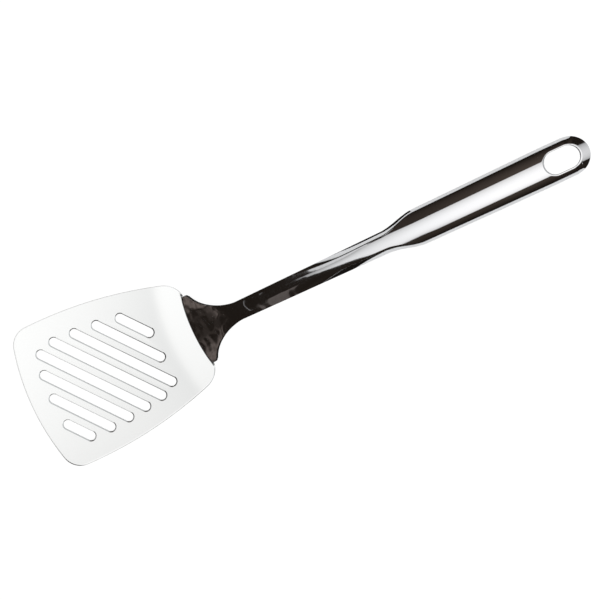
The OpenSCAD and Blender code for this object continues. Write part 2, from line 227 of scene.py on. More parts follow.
class SPATULA_PG_blade(bpy.types.PropertyGroup):
    """Finish of the blade's edges and its slight dish"""

    roll_over: in_mm("Roll-over", "Width of the punch's roll-over", 0.9)
    roll_over_depth: in_mm("Roll-over depth", "Its depth where it is deepest", 0.6)
    deburring: in_mm("Deburring", "Rounding of every edge", 0.15)
    roll_over_side: in_degrees("Deep side", "Way that the slots' deep side faces", 8)
    slot_field: in_metres("Slot field", "Its front, rear and half width", (-0.035, 0.045, 0.033))
    edge_share: as_share("Edge share", "Share of it that other edges have", 0.16)
    side_share: as_share("Side share", "Share of it on the side towards -Y", 0.75)
    bow_centre: in_mm("Bow centre", "Place of the axis the heel turns about", 166.2)
    bow: in_mm("Heel bow", "Radius of the bowed heel, seen from above", 108)
    dish: in_mm("Dish", "Radius of the blade's very slight dish", 460)
    cross_dish: in_mm("Cross dish", "Radius of that dish across the blade", 350)
    dish_middle: in_mm("Dish middle", "Lowest line, in front of the heel", 69)


class SPATULA_PG_finish(bpy.types.PropertyGroup):
    """Colours and polish of the steel"""

    blade_colour: as_colour("Blade", "sRGB colour of the blade's steel", "#EEF0F0")
    handle_colour: as_colour("Handle", "sRGB colour of the handle's steel", "#EFF0F2")
    weld_colour: as_colour("Welds", "sRGB colour of the weld nuggets", "#B9B6B1")
    blade_polish: as_share("Blade polish", "Roughness of the blade's steel", 0.07)
    handle_polish: as_share("Handle polish", "Roughness of the handle's steel", 0.05)


class SPATULA_PG_stage(bpy.types.PropertyGroup):
    """The studio round the spatula"""

    camera_place: as_place("Camera", "Place of the camera", (0.12275, 0.008, 1.6))
    camera_roll: in_degrees("Camera roll", "Turn of the picture about the view", 25.1)
    pixel_size: in_mm("Pixel", "Size of a pixel at the blade's underside", 0.58)
    shift: as_pair("Shift", "Shift of the view to the right and upwards", (0.02147, -0.0458))
    softbox_place: as_place("Softbox", "Middle of the white softbox", (0.196, -0.226, 1.0))
    softbox_size: in_metres("Softbox size", "Its length and width", (1.135, 1.546))
    softbox_turn: in_degrees("Softbox turn", "Its turn about the upright", 12)
    softbox_level: as_number("Softbox level", "Brightness at its hot spot", 1.12)
    hot_spot: in_metres("Hot spot", "X and Y of the softbox's hot spot", (0.1, -0.3))
    falloff: as_pair("Falloff", "How fast the softbox dims along X and Y", (1.25, 0.6))
    card_place: as_place("Card", "Middle of the dim card", (-0.74, -1.05, 1.0))
    card_size: in_metres("Card size", "Its width and length", (0.12, 1.8))
    card_turn: in_degrees("Card turn", "Its turn about the upright", -11)
    card_level: as_number("Card level", "Brightness of the dim card", 0.09)
    card_colour: as_colour("Card colour", "sRGB colour of the dim card", "#FFF1EA")
    side_place: as_place("Side box", "Middle of the narrow softbox", (-0.475, 0.985, 1.0))
    side_size: in_metres("Side box size", "Its width and length", (0.15, 1.08))
    side_turn: in_degrees("Side box turn", "Its turn about the upright", 9)
    side_level: as_number("Side box level", "Brightness of the narrow softbox", 0.65)
    rail_place: as_place("Rail", "Middle of the thin lit rail", (-0.783, 0.08, 1.0))
    rail_size: in_metres("Rail size", "Its width and length", (0.035, 1.3))
    rail_level: as_number("Rail level", "Brightness of the rail", 0.2)
    # Painted shadow: dark sheets on the floor that only the steel reflects
    upper_painted_shadow: in_metres("Upper flag", "Sides of the flag past the neck", (0.06, 0.2, 0.0, 0.062))
    lower_painted_shadow: in_metres("Lower flag", "Sides of the flag before it", (0.04, 0.158, -1.5, -0.012))
    far_painted_shadow: in_metres("Far flag", "Sides of the flag beside the blade",
                        (-1.2, 0.158, -1.6, -0.06))
    surroundings: as_colour("Surroundings", "sRGB colour of the dark studio", "#1E1915")
    surroundings_high: as_colour("Overhead", "sRGB colour of its upper part", "#483F39")
    pale_wall: as_colour("Pale wall", "sRGB colour of the wall past the tip", "#D2D3D4")
    surroundings_spots: as_colour("Spots", "sRGB colour of its lighter spots", "#6A605B")


class SPATULA_PG_settings(bpy.types.PropertyGroup):
    """All settings of the spatula"""

    handle: PointerProperty(type=SPATULA_PG_handle)
    blade: PointerProperty(type=SPATULA_PG_blade)
    finish: PointerProperty(type=SPATULA_PG_finish)
    stage: PointerProperty(type=SPATULA_PG_stage)


# Helpers for shapes


def mix(a, b, share):
    """The value that lies a share of the way from a to b"""
    return a + (b - a) * share


def progress(s, start, end):
    """How far s has come on the way from start to end"""
    return (s - start) / (end - start)


def smooth(share):
    """An even ease from 0 to 1"""
    share = min(1.0, max(0.0, share))
    return share * share * (3 - 2 * share)


def spread(start, end, step):
    """Even stations from start up to, but without, end"""
    count = ceil((end - start) / step)
    return [mix(start, end, i / count) for i in range(count)]


def active():
    """The active object"""
    return bpy.context.view_layer.objects.active


def make_active(piece):
    """Selects a piece alone and makes it active"""
    bpy.ops.object.select_all(action="DESELECT")
    piece.select_set(True)
    bpy.context.view_layer.objects.active = piece


def apply_modifier(piece, kind, **settings):
    """Adds a modifier with its settings and applies it"""
    make_active(piece)
    modifier = piece.modifiers.new(kind.title(), kind)
    for name, value in settings.items():
        setattr(modifier, name, value)
    bpy.ops.object.modifier_apply(modifier=modifier.name)


class EditMode:
    """Edit mode on the active piece, with all, none or the same of it selected"""

    def __init__(self, kind="VERT", selection="SELECT"):
        self.kind = kind
        self.selection = selection

    def __enter__(self):
        modes = [self.kind == kind for kind in ("VERT", "EDGE", "FACE")]
        bpy.context.tool_settings.mesh_select_mode = modes
        bpy.ops.object.mode_set(mode="EDIT")
        if self.selection != "SAME":
            bpy.ops.mesh.select_all(action=self.selection)

    def __exit__(self, *_):
        bpy.ops.object.mode_set(mode="OBJECT")


def shaped_grid(columns, rows, point):
    """A grid whose vertex in each column and row goes where a function of both says"""
    bpy.ops.object.select_all(action="DESELECT")
    bpy.ops.mesh.primitive_grid_add(x_subdivisions=columns, y_subdivisions=rows, size=1)
    piece = active()
    for vertex in piece.data.vertices:
        vertex.co = point(round((vertex.co.x + 0.5) * columns), round((vertex.co.y + 0.5) * rows))
    return piece


def edge_middle(piece, edge):
    """The middle of an edge"""
    return sum((piece.data.vertices[i].co for i in edge.vertices), Vector()) / 2


def select_where(piece, wanted):
    """Selects the vertices that a function wants, with the edges and faces between them"""
    chosen = [wanted(vertex) for vertex in piece.data.vertices]
    for vertex in piece.data.vertices:
        vertex.select = chosen[vertex.index]
    for element in (*piece.data.edges, *piece.data.polygons):
        element.select = all(chosen[i] for i in element.vertices)


def check_closed(piece):
    """Stops with an error if a piece has an edge without two faces"""
    uses = {}
    for face in piece.data.polygons:
        for key in face.edge_keys:
            uses[key] = uses.get(key, 0) + 1
    if any(count != 2 for count in uses.values()):
        raise RuntimeError(f"{piece.name} isn't closed")


def weigh_edges(piece, share_of):
    """Gives each sharp edge between a face and a wall its share of the bevel's width. The share
    comes from a function of the edge's middle and the face's normal"""
    sides = {}
    for face in piece.data.polygons:
        for key in face.edge_keys:
            sides.setdefault(key, []).append(face.normal)
    weights = piece.data.attributes.new("bevel_weight_edge", "FLOAT", "EDGE")
    for edge in piece.data.edges:
        wall, face = sorted(sides[edge.key], key=lambda normal: abs(normal.z))
        if wall.angle(face) > SHARP:
            weights.data[edge.index].value = share_of(edge_middle(piece, edge), face)


class HandleForm:
    """The handle's top line and cross sections, worked out from its sizes"""

    def __init__(self, sizes):
        self.sizes = h = sizes
        self.start = Vector((HANDLE_START.x, HANDLE_START.z + h.sheet * cos(h.foot_angle)))
        self.tip_centre = h.length - h.grip_tip / 2
        self.arch_start = h.lap_length + h.ease_length
        self.widest = h.length - h.widest_before_tip
        self.shoulder_end = h.shoulder_start + h.shoulder_length
        self.hole_middle = h.length - h.hole_to_tip - h.hole_length / 2
        self.corner = Vector((self.front_edge(h.foot_width / 2), h.foot_width / 2))
        self.set_nose()
        self.front_columns = [point[0] for point in self.section(0)]
        self.corner_x = self.line_at(self.nose_back).x

    def set_nose(self):
        """The nose where the foot's front edge meets the flare: a circle that touches both"""
        h = self.sizes
        step = 0.1 * MM
        before = Vector((self.front_edge(self.corner.y - step), self.corner.y - step))
        after = Vector((self.corner.x + step, self.flare(self.corner.x + step)))
        front_way = (self.corner - before).normalized()
        flare_way = (after - self.corner).normalized()
        half_angle = acos(-front_way.dot(flare_way)) / 2
        inward = (flare_way - front_way).normalized()
        self.nose = self.corner + inward * h.foot_nose / sin(half_angle)
        reach = h.foot_nose / tan(half_angle)
        self.nose_front = self.corner.y - reach * front_way.y
        self.nose_back = self.corner.x + reach * flare_way.x

    def nose_at(self, v):
        """Half chord of the nose's circle at a distance v from its centre"""
        return sqrt(max(0, self.sizes.foot_nose ** 2 - v * v))

    def slope(self, s):
        """Slope of the top line at a distance s along it"""
        h = self.sizes
        if s < h.lap_length:
            return h.foot_angle
        if s < self.arch_start:
            return mix(h.foot_angle, h.neck_angle, (s - h.lap_length) / h.ease_length)
        return mix(h.neck_angle, h.tip_angle, progress(s, self.arch_start, self.tip_centre))

    def lean(self, s):
        """Lean of the cross section at s: square to the top line, easing to the round tip's"""
        drop = self.sizes.tip_drop * smooth(progress(s, self.widest, self.tip_centre))
        return self.slope(s) - drop

    def line_at(self, s):
        """Point of the top line, as [along, up]"""
        h = self.sizes
        if s <= h.lap_length:
            return self.start + s * Vector((cos(h.foot_angle), sin(h.foot_angle)))
        if s <= self.arch_start:
            return self.line_at(h.lap_length) + self.arc_step(h.foot_angle, self.slope(s),
                                                              s - h.lap_length)
        return self.line_at(self.arch_start) + self.arc_step(h.neck_angle, self.slope(s),
                                                             s - self.arch_start)

    @staticmethod
    def arc_step(start, end, length):
        """Step along an arc of a length, from one slope to another"""
        if abs(end - start) < LEAST_TURN:
            return length * Vector((cos(start), sin(start)))
        radius = length / (end - start)
        return radius * Vector((sin(end) - sin(start), cos(start) - cos(end)))

    def front_edge(self, y):
        """Setback of the foot's bowed front edge along the slope, with its round corners"""
        h = self.sizes
        inward = y - h.foot_width / 2 + h.foot_corner_span
        corner = h.foot_corner - sqrt(h.foot_corner ** 2 - inward ** 2) if inward > 0 else 0
        return (h.foot_bow - sqrt(h.foot_bow ** 2 - y * y)) / cos(h.foot_angle) + corner

    def foot_setback(self, y):
        """Setback of the foot's front edge, nose included"""
        if y < self.nose_front:
            return self.front_edge(y)
        return self.nose.x - self.nose_at(y - self.nose.y)

    def flare(self, s):
        """Half of the flare's width at s"""
        h = self.sizes
        share = progress(s, h.flare_end, self.corner.x)
        power = h.flare_power + h.flare_growth * share * share
        return (h.neck_low + (h.foot_width - h.neck_low) * share ** power) / 2

    def half_width(self, s):
        """Half of the handle's width at s"""
        h = self.sizes
        if s < self.nose_back:
            return self.nose.y + self.nose_at(max(0, s - self.nose.x))
        if s < h.flare_end:
            return self.flare(s)
        if s < h.shoulder_start:
            return mix(h.neck_low, h.neck_high, progress(s, h.flare_end, h.shoulder_start)) / 2
        if s < self.shoulder_end:
            return mix(h.neck_high, h.grip_front, self.grip_share(s)) / 2
        if s < self.widest:
            return mix(h.grip_front, h.grip_max, progress(s, self.shoulder_end, self.widest)) / 2
        return mix(h.grip_max, h.grip_tip, smooth(progress(s, self.widest, self.tip_centre))) / 2

    def grip_share(self, s):
        """How far the neck has become the grip at s"""
        return smooth((s - self.sizes.shoulder_start) / self.sizes.shoulder_length)

    def wall_share(self, s):
        """How far the side walls have grown at s"""
        return smooth((s - self.sizes.wall_start) / self.sizes.wall_growth)

    def channel(self, s):
        """The full channel at s: its bend, its walls' height, slopes and width, and its crown"""
        h = self.sizes
        share = self.grip_share(s)
        bend = mix(h.neck_bend, h.grip_bend, share)
        height = mix(h.neck_wall, h.grip_wall, share)
        top = mix(h.neck_wall_top, h.grip_wall_top, share)
        rim = mix(h.neck_wall_rim, h.grip_wall_rim, share)
        width = height * (sin(rim) - sin(top)) / (rim - top)
        flatter = smooth((s - h.widening) / h.widening_length)
        radius = mix(mix(h.neck_crown, h.high_crown, flatter), h.grip_crown, share)
        crown = (self.half_width(s) - bend * sin(top) - width) / (radius - bend)
        return bend, height, top, rim, crown

    def crown_slope(self, s):
        """Slope across the handle where its rounded top ends"""
        h = self.sizes
        cone = (h.foot_bow - min(s, h.lap_length) * cos(h.foot_angle)) / sin(h.foot_angle) + h.sheet
        plain = self.half_width(s) - h.plain_edge
        neck = mix(plain / h.low_crown, self.channel(s)[4], self.wall_share(s))
        return asin(mix(plain / cone, neck, smooth((s - h.lap_length) / h.ease_length)))

    def parts(self, s, keep=1.0):
        """Radius and end slope of the crown, radius and end slope of the bend, and the wall's
        radius, rim slope and height"""
        bend, height, top, rim, _ = self.channel(s)
        crown = self.crown_slope(s)
        share = max(self.wall_share(s) * keep, LEAST_SHARE)
        top = mix(crown, top, share)
        rim = mix(crown, rim, share) + LEAST_WALL_TURN
        height = mix(self.sizes.plain_edge, height, self.wall_share(s) * keep)
        wall = height / (rim - top)
        width = self.half_width(s) - bend * (sin(top) - sin(crown)) - wall * (sin(rim) - sin(top))
        return width / sin(crown), crown, bend, top, wall, rim, height

    def section(self, s, keep=1.0):
        """Half of the outer face's section at s, as [out, down] from the top line to the rim.
        Where there is a wall, its bend gets columns of its own; elsewhere they crowd to the rim"""
        crown_r, crown, bend, top, wall, rim, height = self.parts(s, keep)
        lengths = (crown_r * crown, bend * (top - crown), height)
        share = min(1.0, 2 * self.wall_share(s) * keep)
        points = []
        for column in range(COLUMNS + 1):
            in_bend = column - CROWN_COLUMNS
            in_wall = in_bend - BEND_COLUMNS
            own = (lengths[0] * min(column, CROWN_COLUMNS) / CROWN_COLUMNS
                   + lengths[1] * min(max(in_bend, 0), BEND_COLUMNS) / BEND_COLUMNS
                   + lengths[2] * max(in_wall, 0) / WALL_COLUMNS)
            even = sum(lengths) * (1 - (1 - column / COLUMNS) ** CROWDING)
            way = mix(even, own, share)
            a = min(way, lengths[0]) / crown_r
            b = crown + min(max(way - lengths[0], 0), lengths[1]) / bend
            c = top + max(way - lengths[0] - lengths[1], 0) / wall
            points.append((crown_r * sin(a) + bend * (sin(b) - sin(crown))
                           + wall * (sin(c) - sin(top)),
                           crown_r * (1 - cos(a)) + bend * (cos(crown) - cos(b))
                           + wall * (cos(top) - cos(c))))
        return points

    def place(self, s, ahead, out, down):
        """A point given from the top line at s: ahead of it, out to the side and down"""
        along, up = self.line_at(s)
        a = self.lean(s)
        return Vector((along + ahead * cos(a) + down * sin(a), out,
                       up + ahead * sin(a) - down * cos(a)))

    def side_point(self, s, column):
        """Point of the outer face at station s, set back with the foot's front edge"""
        setback = self.foot_setback(self.front_columns[column])
        at = s + setback * max(0, 1 - s / self.sizes.lap_length)
        out, down = self.section(at)[column]
        return self.place(at, 0, out, down)

    def tip_keep(self, turn):
        """How much of the side walls is left round the tip"""
        return 1 - smooth(turn / self.sizes.tip_fade)

    def tip_point(self, turn, column):
        """Point of the outer face round the tip: the crown runs on straight and is cut round"""
        keep = self.tip_keep(turn)
        crown_r = self.parts(self.tip_centre, keep)[0]
        out, down = self.section(self.tip_centre, keep)[column]
        side = out * cos(turn)
        rise = sqrt(crown_r ** 2 - side ** 2) - sqrt(crown_r ** 2 - out ** 2)
        return self.place(self.tip_centre, out * sin(turn), side, down - rise)

    def crown_point(self, s, y, depth):
        """Point at a depth below the crown near the hanging hole, at a distance s and a width y"""
        ahead = max(0, s - self.tip_centre)
        keep = self.tip_keep(atan2(ahead, abs(y))) if ahead > 0 else 1
        at = min(s, self.tip_centre)
        crown_r = self.parts(at, keep)[0]
        inner_r = crown_r - depth
        return self.place(at, ahead, y, crown_r - sqrt(inner_r ** 2 - y * y))

    def stations(self):
        """Distances along the handle of its cross sections"""
        h = self.sizes
        return (spread(0, NOSE_STRETCH, NOSE_STEP)
                + spread(NOSE_STRETCH, self.arch_start, FINE_STEP)
                + spread(self.arch_start, h.shoulder_start, COARSE_STEP)
                + spread(h.shoulder_start, self.shoulder_end, FINE_STEP)
                + spread(self.shoulder_end, self.tip_centre, COARSE_STEP)
                + [self.tip_centre])

    def hole_outline(self, share, grown):
        """Point of the hole's outline, grown outwards, as [s, y], at a share of the way round"""
        h = self.sizes
        r = h.hole_width / 2
        straight = h.hole_length - h.hole_width
        way = share * (2 * straight + 2 * pi * r)
        side = 1
        if way >= straight + pi * r:
            way -= straight + pi * r
            side = -1
        if way < straight:
            s, y = straight / 2 - way, r + grown
        else:
            a = pi / 2 + (way - straight) / r
            s, y = -straight / 2 + (r + grown) * cos(a), (r + grown) * sin(a)
        return self.hole_middle + side * s, side * y

    def from_hole(self, point):
        """Distance of a point from the obround hole's outline, seen along the hole"""
        h = self.sizes
        along, up = self.line_at(self.hole_middle)
        a = self.slope(self.hole_middle)
        ahead = (point.x - along) * cos(a) + (point.z - up) * sin(a)
        past = max(0, abs(ahead) - (h.hole_length - h.hole_width) / 2)
        return sqrt(past ** 2 + point.y ** 2) - h.hole_width / 2


# Helpers for materials


def linear(hex_colour):
    """Linear colour with alpha of an sRGB hex value"""
    parts = [int(hex_colour[i:i + 2], 16) / 255 for i in (1, 3, 5)]
    return (*[c / 12.92 if c <= 0.04045 else ((c + 0.055) / 1.055) ** 2.4 for c in parts], 1.0)


def node_adder(owner):
    """Empties the node tree of a material, a world or a light and gives its adding function"""
    owner.use_nodes = True
    tree = owner.node_tree
    tree.nodes.clear()

    def add(kind, inputs=None, **settings):
        """Adds a node with its settings. An input is a value, an output to link, or a node, which
        gives its first output"""
        node = tree.nodes.new(kind)
        for name, value in settings.items():
            setattr(node, name, value)
        for name, value in (inputs or {}).items():
            source = value.outputs[0] if isinstance(value, bpy.types.Node) else value
            if isinstance(source, bpy.types.NodeSocket):
                tree.links.new(source, node.inputs[name])
            else:
                node.inputs[name].default_value = source
        return node

    return add


def new_material(name):
    """A new material and its adding function"""
    material = bpy.data.materials.new(name)
    return material, node_adder(material)


def finish_steel(add, colour, roughness, normal):
    """Ends a steel's nodes with its metal shader"""
    steel = add("ShaderNodeBsdfPrincipled",
                {"Base Color": linear(colour), "Metallic": 1.0, "Roughness": roughness,
                 "Normal": normal})
    add("ShaderNodeOutputMaterial", {"Surface": steel})


def smudges(add, place, sizes, polish, haze):
    """Roughness with a haze over its polish, in soft smudges of real sizes that are drawn out
    along the wheel's strokes"""
    strokes = add("ShaderNodeMapping", {"Vector": place, "Scale": [1 / size for size in sizes]})
    noise = add("ShaderNodeTexNoise",
                {"Vector": strokes, "Scale": 1.0, "Detail": 4.0, "Roughness": 0.6})
    return add("ShaderNodeMapRange",
               {"Value": noise, "From Min": 0.35, "From Max": 0.75,
                "To Min": polish, "To Max": polish + haze})


def waves(add, place, size, height, **over):
    """Slight waves of a real size and height, over another Normal where one is given"""
    noise = add("ShaderNodeTexNoise", {"Vector": place, "Scale": 1 / size, "Detail": 1.0})
    return add("ShaderNodeBump", {"Height": noise, "Distance": height, **over})


def handle_steel(finish):
    """Stainless steel 18/10, pressed and then polished on felt: a clean dark-and-white mirror with
    a breath of haze where it is held"""
    material, add = new_material("mirror-polished stainless pressing")
    place = add("ShaderNodeTexCoord").outputs["Object"]
    gloss = smudges(add, place, HANDLE_SMUDGES, finish.handle_polish, HANDLE_HAZE)
    pressed = waves(add, place, 25 * MM, 0.02 * MM)
    # Shorter and stronger waves where the press drew the foot: all at 75 mm, none at 140 mm
    parts = add("ShaderNodeSeparateXYZ", {"Vector": place})
    drawn = add("ShaderNodeMapRange",
                {"Value": parts.outputs["X"], "From Min": 140 * MM, "From Max": 75 * MM})
    short = add("ShaderNodeTexNoise", {"Vector": place, "Scale": 1 / (9.09 * MM), "Detail": 1.0})
    height = add("ShaderNodeMath", {0: short, 1: drawn}, operation="MULTIPLY")
    normal = add("ShaderNodeBump", {"Height": height, "Normal": pressed, "Distance": 0.4 * MM})
    finish_steel(add, finish.handle_colour, gloss, normal)
    return material


def blade_steel(finish, blade):
    """Stainless steel sheet, blanked and polished, with the haze of a finely brushed face: the
    softbox shows as one pale sheen, a little greyer where the slight dish looks past its middle"""
    material, add = new_material("polished stainless sheet")
    place = add("ShaderNodeTexCoord").outputs["Object"]
    gloss = smudges(add, place, BLADE_SMUDGES, finish.blade_polish, BLADE_HAZE)
    # The dish: a shallow bowl in front of the heel, flat again along the bend
    flat = add("ShaderNodeVectorMath", {0: place, 1: (1, 1, 0)}, operation="MULTIPLY")
    reach = add("ShaderNodeVectorMath", {0: flat, 1: (blade.bow_centre, 0, 0)},
                operation="DISTANCE")
    past = add("ShaderNodeMath", {0: blade.bow + blade.dish_middle, 1: reach.outputs["Value"]},
               operation="SUBTRACT")
    bowl = add("ShaderNodeMath", {0: past, 1: past}, operation="MULTIPLY")
    ledge = add("ShaderNodeMath", {0: bowl, 1: (blade.dish_middle - LEDGE) ** 2, 2: LEDGE_EASE},
                operation="SMOOTH_MIN")
    across = add("ShaderNodeSeparateXYZ", {"Vector": place}).outputs["Y"]
    square = add("ShaderNodeMath", {0: across, 1: across}, operation="MULTIPLY")
    both = add("ShaderNodeMath", {0: square, 1: blade.dish / blade.cross_dish, 2: ledge},
               operation="MULTIPLY_ADD")
    dish = add("ShaderNodeBump", {"Height": both, "Distance": 1 / (2 * blade.dish)})
    normal = waves(add, place, 12.5 * MM, 0.01 * MM, Normal=dish)
    finish_steel(add, finish.blade_colour, gloss, normal)
    return material


def weld_steel(finish):
    """Bare weld steel: dull, grainy and a little darker than the sheets it joins"""
    material, add = new_material("cast grain of a spot weld nugget")
    place = add("ShaderNodeTexCoord").outputs["Object"]
    gloss = smudges(add, place, [1.11 * MM] * 3, polish=0.35, haze=0.15)
    normal = waves(add, place, 0.667 * MM, 0.04 * MM)
    finish_steel(add, finish.weld_colour, gloss, normal)
    return material


# Operators


class SPATULA_OT_handle(bpy.types.Operator):
    """Press the handle: flared foot, channel neck and grip, round tip and hanging hole"""

    bl_idname = "spatula.handle"
    bl_label = "Handle"

    def execute(self, context):
        sizes = context.scene.spatula.handle
        form = HandleForm(sizes)
        piece = self.half_sheet(form)
        apply_modifier(piece, "MIRROR", use_axis=(False, True, False), use_clip=True,
                       merge_threshold=MIDDLE_MERGE)
        with EditMode():
            bpy.ops.mesh.remove_doubles(threshold=MIDDLE_MERGE)
            bpy.ops.mesh.normals_make_consistent(inside=False)
        if sum(face.normal.z * face.area for face in piece.data.polygons) < 0:
            piece.data.flip_normals()
        apply_modifier(piece, "SOLIDIFY", thickness=sizes.sheet, offset=-1.0, use_even_offset=True)
        weigh_edges(piece, lambda middle, face: 1.0 if middle.x < form.corner_x and face.z > 0
                    else sizes.rim_share)
        apply_modifier(piece, "BEVEL", width=sizes.edge_round, segments=3, limit_method="WEIGHT",
                       use_clamp_overlap=False)
        self.open_round_hole(piece, form)
        self.set_in(piece, self.collar(form), form)
        make_active(piece)
        bpy.ops.object.shade_smooth_by_angle(angle=SHADED_SHARP)
        check_closed(piece)
        piece.data.materials.append(handle_steel(context.scene.spatula.finish))
        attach(piece, "root")
        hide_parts("handle")
        return {"FINISHED"}

    def half_sheet(self, form):
        """One half of the sheet's outer face: a grid laid along the top line and round the tip"""
        stations = form.stations()
        turns = [pi / 2 * i / TIP_STEPS for i in range(1, TIP_STEPS + 1)]

        def point(column, row):
            if row < len(stations):
                return form.side_point(stations[row], column)
            return form.tip_point(turns[row - len(stations)], column)

        piece = shaped_grid(COLUMNS, len(stations) + len(turns) - 1, point)
        piece.name = "pressed_handle"
        return piece

    def open_round_hole(self, piece, form):
        """Takes the grid away from where the hole's collar comes"""
        select_where(piece, lambda vertex: form.from_hole(vertex.co) < COLLAR_MARGIN)
        with EditMode(selection="SAME"):
            bpy.ops.mesh.delete(type="VERT")

    def collar(self, form):
        """The steel round the hole: rings from its outer edge, over the rounded rim and under"""
        h = form.sizes
        over, under = h.hole_round, UNDERSIDE * h.hole_round
        quarter = [pi / 2 * i / ROUND_STEPS for i in range(ROUND_STEPS + 1)]
        rings = ([(grown, 0, 0) for grown in COLLAR_RINGS]
                 + [(over * (1 - sin(a)), 0, over * (1 - cos(a)) / h.hole_flatness)
                    for a in quarter]
                 + [(under * (1 - sin(a)), h.sheet, under * (cos(a) - 1)) for a in quarter[::-1]]
                 + [(grown, h.sheet, 0) for grown in COLLAR_RINGS[::-1]])

        def point(column, row):
            grown, layer, inset = rings[row]
            s, y = form.hole_outline(column % HOLE_SIDES / HOLE_SIDES, grown)
            a = form.lean(min(s, form.tip_centre))
            return form.crown_point(s, y, layer) + inset * Vector((sin(a), 0, -cos(a)))

        collar = shaped_grid(HOLE_SIDES, len(rings) - 1, point)
        with EditMode():
            bpy.ops.mesh.remove_doubles(threshold=MERGE)
        return collar

    def set_in(self, piece, collar, form):
        """Joins the collar to the handle and closes the gaps above and below it"""
        make_active(piece)
        collar.select_set(True)
        bpy.ops.object.join()
        along, up = form.line_at(form.hole_middle)
        a = form.slope(form.hole_middle)
        for over in (True, False):
            with EditMode("EDGE", "DESELECT"):
                bpy.ops.mesh.select_non_manifold()
            for edge in piece.data.edges:
                if edge.select:
                    middle = edge_middle(piece, edge)
                    s = form.hole_middle + (middle.x - along) * cos(a) + (middle.z - up) * sin(a)
                    top = form.crown_point(s, middle.y, form.sizes.sheet / 2)
                    edge.select = (middle.z > top.z) == over
            with EditMode("EDGE", "SAME"):
                bpy.ops.mesh.fill(use_beauty=True)
        with EditMode():
            bpy.ops.mesh.normals_make_consistent(inside=False)


class SPATULA_OT_blade(bpy.types.Operator):
    """Finish the blade: the punch's roll-over, deburred edges and polished steel"""

    bl_idname = "spatula.blade"
    bl_label = "Blade"

    def execute(self, context):
        settings = context.scene.spatula
        piece = bpy.data.objects.new("slotted_blade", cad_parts["blade"].data.copy())
        piece.data.materials.clear()
        context.scene.collection.objects.link(piece)
        make_active(piece)
        with EditMode():
            bpy.ops.mesh.remove_doubles(threshold=MERGE)
            bpy.ops.mesh.dissolve_limited(angle_limit=FLAT)
        self.roll_over(piece, settings.blade)
        piece.data.materials.append(blade_steel(settings.finish, settings.blade))
        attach(piece, "root")
        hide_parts("blade")
        return {"FINISHED"}

    @staticmethod
    def roll_over(piece, blade):
        """Rounds the edges as the punch leaves them: the upper faces are inset, and their old rim
        let down, deep on the slots' deep side and hardly elsewhere. Then every edge is deburred"""
        front, rear, half_width = blade.slot_field
        deep_way = Vector((cos(blade.roll_over_side), sin(blade.roll_over_side), 0))

        def share_of(place, wall):
            if front < place.x < rear and abs(place.y) < half_width:
                deep = smooth(DEEP_MIDDLE + DEEP_RISE * wall.dot(deep_way))
                return mix(blade.edge_share, 1.0, deep)
            return mix(blade.edge_share, blade.side_share, smooth(-OUTLINE_RISE * wall.y))

        upper, walls = set(), {}
        for face in piece.data.polygons:
            if face.normal.z > UPWARD:
                upper.update(face.vertices)
            elif face.normal.z > -UPWARD:
                for i in face.vertices:
                    walls[i] = walls.get(i, Vector()) + face.normal
        drops = {}
        for i in upper & walls.keys():
            place = piece.data.vertices[i].co
            share = share_of(place, walls[i].normalized())
            drops[place.to_tuple(DECIMALS)] = blade.roll_over_depth * share
        select_where(piece, lambda vertex: vertex.index in upper)
        with EditMode("FACE", "SAME"):
            bpy.ops.mesh.inset(thickness=blade.roll_over, depth=0.0, use_even_offset=True)
        for vertex in piece.data.vertices:
            vertex.co.z -= drops.get(vertex.co.to_tuple(DECIMALS), 0)
        apply_modifier(piece, "BEVEL", width=blade.deburring, segments=2, limit_method="ANGLE",
                       angle_limit=SHARP, use_clamp_overlap=False)
        bpy.ops.object.shade_smooth()
        apply_modifier(piece, "WEIGHTED_NORMAL", weight=100)
        check_closed(piece)


class SPATULA_OT_welds(bpy.types.Operator):
    """Give the weld nuggets their bare steel"""

    bl_idname = "spatula.welds"
    bl_label = "Spot welds"

    def execute(self, context):
        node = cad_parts["spot_welds"]
        node.data.materials.clear()
        node.data.materials.append(weld_steel(context.scene.spatula.finish))
        return {"FINISHED"}


